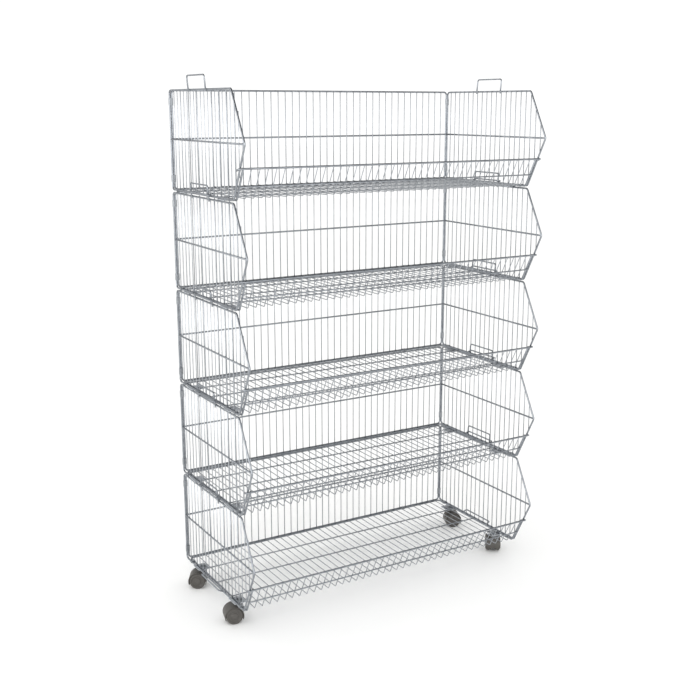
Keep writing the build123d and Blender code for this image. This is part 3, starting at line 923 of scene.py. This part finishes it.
def studio_paper(tree, place, colours):
    """Matt white paper of the studio floor, with a trace of fibre."""
    fibre_size = 40 * MM
    fibre = add(tree, "TexNoise", {"Vector": place, "Scale": 1 / fibre_size})
    rough = add(tree, "MapRange", {"Value": fibre, "To Min": 0.8, "To Max": 0.95})
    return {"Base Color": (*colours.floor, 1), "Roughness": rough, "Specular IOR Level": 0.1}


def wire_finishes(colours, thin="thin"):
    """Finishes in the order of their numbers: heavy wires, welds and the named filling wires."""
    made = bpy.data.materials
    if "zinc_over_weld" not in made:
        zincs = {
            "heavy": (colours.coat, colours.coat_dull),
            "thin": (colours.zinc, colours.zinc_dull),
            # A paler and a greyer copy of the filling wires' zinc: painted light and painted shade
            "painted_lit": (colours.painted_lit, colours.painted_lit_dull),
            "painted_shade": (colours.painted_shade, colours.painted_shade_dull),
        }
        for name, shades in zincs.items():
            finish(f"{name}_zinc_plated_wire", zinc_plated_wire, *shades)
        finish("zinc_over_weld", zinc_over_weld, colours)
    names = "heavy_zinc_plated_wire", "zinc_over_weld", f"{thin}_zinc_plated_wire"
    return [made[name] for name in names]


def paint(node, material):
    """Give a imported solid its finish."""
    mesh = frame["nodes"][node].data
    mesh.materials.clear()
    mesh.materials.append(material)


class BASKETRACK_OT_bases(bpy.types.Operator):
    """Floors with their upturned lips and castor plates"""

    bl_idname = "basketrack.bases"
    bl_label = "Basket bases"

    def execute(self, context):
        s = context.scene.rack_sizes
        w = layout(s)
        colours = context.scene.rack_finishes
        plate = finish("rolled_zinc_plate", rolled_zinc_plate, colours)
        finishes = [*wire_finishes(colours), plate]
        for basket in BASKETS:
            parts = base_parts(s, w, *seat(basket, w))
            name = f"{basket}_floor_and_lip"
            piece(name, parts, finishes, basket, f"{basket}_base")
        return {"FINISHED"}


class BASKETRACK_OT_sides(bpy.types.Operator):
    """Side panels with their stacking loops and catches"""

    bl_idname = "basketrack.sides"
    bl_label = "Side panels"

    def execute(self, context):
        s = context.scene.rack_sizes
        w = layout(s)
        colours = context.scene.rack_finishes
        # Left panels take the paler zinc, which is painted light from the left; right panels take
        # the greyer zinc, which is painted shade
        zincs = {"left": "painted_lit", "right": "painted_shade"}
        finishes = {hand: wire_finishes(colours, zinc) for hand, zinc in zincs.items()}
        for basket in BASKETS:
            for hand, side in SIDES.items():
                parts = side_parts(s, w, *seat(basket, w), side)
                name, node = f"{basket}_{hand}_panel", f"{basket}_{hand}_side"
                piece(name, parts, finishes[hand], basket, node)
        return {"FINISHED"}


class BASKETRACK_OT_backs(bpy.types.Operator):
    """Back panels"""

    bl_idname = "basketrack.backs"
    bl_label = "Back panels"

    def execute(self, context):
        s = context.scene.rack_sizes
        w = layout(s)
        # Back panels take the greyer zinc, which is painted shade
        finishes = wire_finishes(context.scene.rack_finishes, "painted_shade")
        for basket in BASKETS:
            parts = back_parts(s, w, *seat(basket, w))
            piece(f"{basket}_back_panel", parts, finishes, basket, f"{basket}_back")
        return {"FINISHED"}


class BASKETRACK_OT_clips(bpy.types.Operator):
    """Finish of the pressed clips"""

    bl_idname = "basketrack.clips"
    bl_label = "Clips"

    def execute(self, context):
        strip = finish("pressed_zinc_strip", pressed_zinc_strip, context.scene.rack_finishes)
        for basket in BASKETS:
            paint(f"{basket}_clips", strip)
        return {"FINISHED"}


class BASKETRACK_OT_castors(bpy.types.Operator):
    """Hoods and wheels of the castors, and the finish of their steel parts"""

    bl_idname = "basketrack.castors"
    bl_label = "Castors"

    def execute(self, context):
        c, colours = context.scene.castor_sizes, context.scene.rack_finishes
        steel = finish("turned_zinc_steel", turned_zinc_steel, colours)
        nylon = finish("moulded_nylon", moulded_nylon, colours)
        tread = finish("scuffed_nylon", scuffed_nylon, colours)
        for castor in CASTORS:
            for part in ("stem", "nut", "axle"):
                paint(f"{castor}_{part}", steel)
            foot, turn, trail = castor_stand(castor)
            makers = roof_part, web_part, boss_part
            hood = [(standing(make(c, trail), foot, turn), 0) for make in makers]
            piece(f"{castor}_moulded_hood", hood, [nylon], castor, f"{castor}_hood")
            for hand, side in SIDES.items():
                wheel = [(standing(wheel_part(c, trail, -side), foot, turn), 0)]
                body = f"{castor}_{hand}_wheel"
                piece(f"{castor}_{hand}_tread", wheel, [tread], body, body)
        return {"FINISHED"}


def studio_floor(colours):
    """Round paper floor: rings of points whose radius grows with the square of their number."""
    reach, pole, rings, steps = 14.0, 0.01, 8, 96
    a = circle_angles(steps)
    r = np.linspace(pole, 1, rings)[:, None] ** 2 * reach
    points = np.stack([r * np.cos(a), r * np.sin(a), 0 * r * a], -1).reshape(-1, 3)
    faces = ring_faces(rings, steps, False)[: (rings - 1) * steps, ::-1]
    mesh = bpy.data.meshes.new("studio_floor")
    mesh.from_pydata(points.tolist(), [], [*faces.tolist(), list(range(steps))])
    mesh.materials.append(finish("studio_paper", studio_paper, colours))
    return bpy.data.objects.new("studio_floor", mesh)


def studio_light():
    """Even white light. Metal mirrors a tent instead, which is darker overhead and to the right."""
    world = bpy.data.worlds.new("studio_light")
    world.use_nodes = True
    tent = world.node_tree
    tent.nodes.clear()
    even = 1.08
    place = add(tent, "TexCoord").outputs["Generated"]
    way = add(tent, "SeparateXYZ", {"Vector": place}).outputs
    lit = add(
        tent,
        "MapRange",
        {"Value": way["Z"], "From Min": 0.25, "From Max": 0.7, "To Min": 3.0, "To Max": 0.08},
    )
    left = add(
        tent,
        "MapRange",
        {"Value": way["X"], "From Min": 0.2, "From Max": 0.6, "To Min": 1.0, "To Max": 0.3},
    )
    ahead = add(tent, "Math", {0: lit, 1: left}, operation="MULTIPLY")
    behind = add(
        tent,
        "MapRange",
        {"Value": way["Z"], "From Min": 0.05, "From Max": 0.45, "To Min": 0.4, "To Max": 1.1},
    )
    turn = add(tent, "MapRange", {"Value": way["Y"], "From Min": 0.5, "From Max": 0.85})
    seen_in_metal = add(tent, "Mix", {SHARE: turn, NUMBER_A: ahead, NUMBER_B: behind})
    mirrored = add(tent, "LightPath").outputs["Is Glossy Ray"]
    strength = add(tent, "Mix", {SHARE: mirrored, NUMBER_A: even, NUMBER_B: seen_in_metal})
    sky = add(tent, "Background", {"Color": (1, 1, 1, 1), "Strength": strength})
    add(tent, "OutputWorld", {"Surface": sky})
    return world


def key_softbox():
    """Large square lamp at the left front, over the camera. It isn't mirrored in the wires."""
    place, aim = Vector((-2.6, -2.8, 3.6)), Vector((0, 0, 0.8))
    light = bpy.data.lights.new("key_softbox", "AREA")
    light.shape, light.size, light.energy = "SQUARE", 2.4, 40.0
    lamp = bpy.data.objects.new("key_softbox", light)
    lamp.visible_glossy = False
    lamp.location = place
    lamp.rotation_euler = (aim - place).to_track_quat("-Z", "Y").to_euler()
    return lamp


def photo_camera(spot):
    """Camera at its place, looking along its turn and tilt."""
    level = cos(spot.tilt)
    forward = Vector((sin(spot.turn) * level, cos(spot.turn) * level, -sin(spot.tilt)))
    facing = forward.to_track_quat("-Z", "Y").to_matrix().to_4x4()
    data = bpy.data.cameras.new("camera")
    data.lens, data.sensor_width = spot.lens, 36.0
    camera = bpy.data.objects.new("camera", data)
    camera.matrix_world = Matrix.Translation(spot.place) @ facing
    return camera


class BASKETRACK_OT_studio(bpy.types.Operator):
    """Pale floor, soft light and the camera"""

    bl_idname = "basketrack.studio"
    bl_label = "Studio"

    def execute(self, context):
        scene = context.scene
        floor, lamp = studio_floor(scene.rack_finishes), key_softbox()
        camera = photo_camera(scene.rack_camera)
        for thing in (floor, lamp, camera):
            scene.collection.objects.link(thing)
        scene.world = studio_light()
        scene.view_settings.view_transform = "Standard"
        scene.camera = camera
        return {"FINISHED"}


OPERATORS = (
    BASKETRACK_OT_bases,
    BASKETRACK_OT_sides,
    BASKETRACK_OT_backs,
    BASKETRACK_OT_clips,
    BASKETRACK_OT_castors,
    BASKETRACK_OT_studio,
)


class BASKETRACK_PT_panel(bpy.types.Panel):
    """Pieces of the basket rack"""

    bl_idname = "BASKETRACK_PT_panel"
    bl_label = "Basket rack"
    bl_space_type = "VIEW_3D"
    bl_region_type = "UI"
    bl_category = "Basket rack"

    def draw(self, context):
        for operator in OPERATORS:
            self.layout.operator(operator.bl_idname)


GROUPS = {
    "rack_sizes": RackSizes,
    "castor_sizes": CastorSizes,
    "rack_finishes": RackFinishes,
    "rack_camera": CameraPlace,
}
CLASSES = (*GROUPS.values(), *OPERATORS, BASKETRACK_PT_panel)


def register():
    for kind in CLASSES:
        bpy.utils.register_class(kind)
    for name, group in GROUPS.items():
        setattr(bpy.types.Scene, name, PointerProperty(type=group))


def unregister():
    for name in GROUPS:
        delattr(bpy.types.Scene, name)
    for kind in reversed(CLASSES):
        bpy.utils.unregister_class(kind)


def main():
    register()
    bpy.ops.basketrack.bases()
    bpy.ops.basketrack.sides()
    bpy.ops.basketrack.backs()
    bpy.ops.basketrack.clips()
    bpy.ops.basketrack.castors()
    bpy.ops.basketrack.studio()


if __name__ == "__main__":
    main()
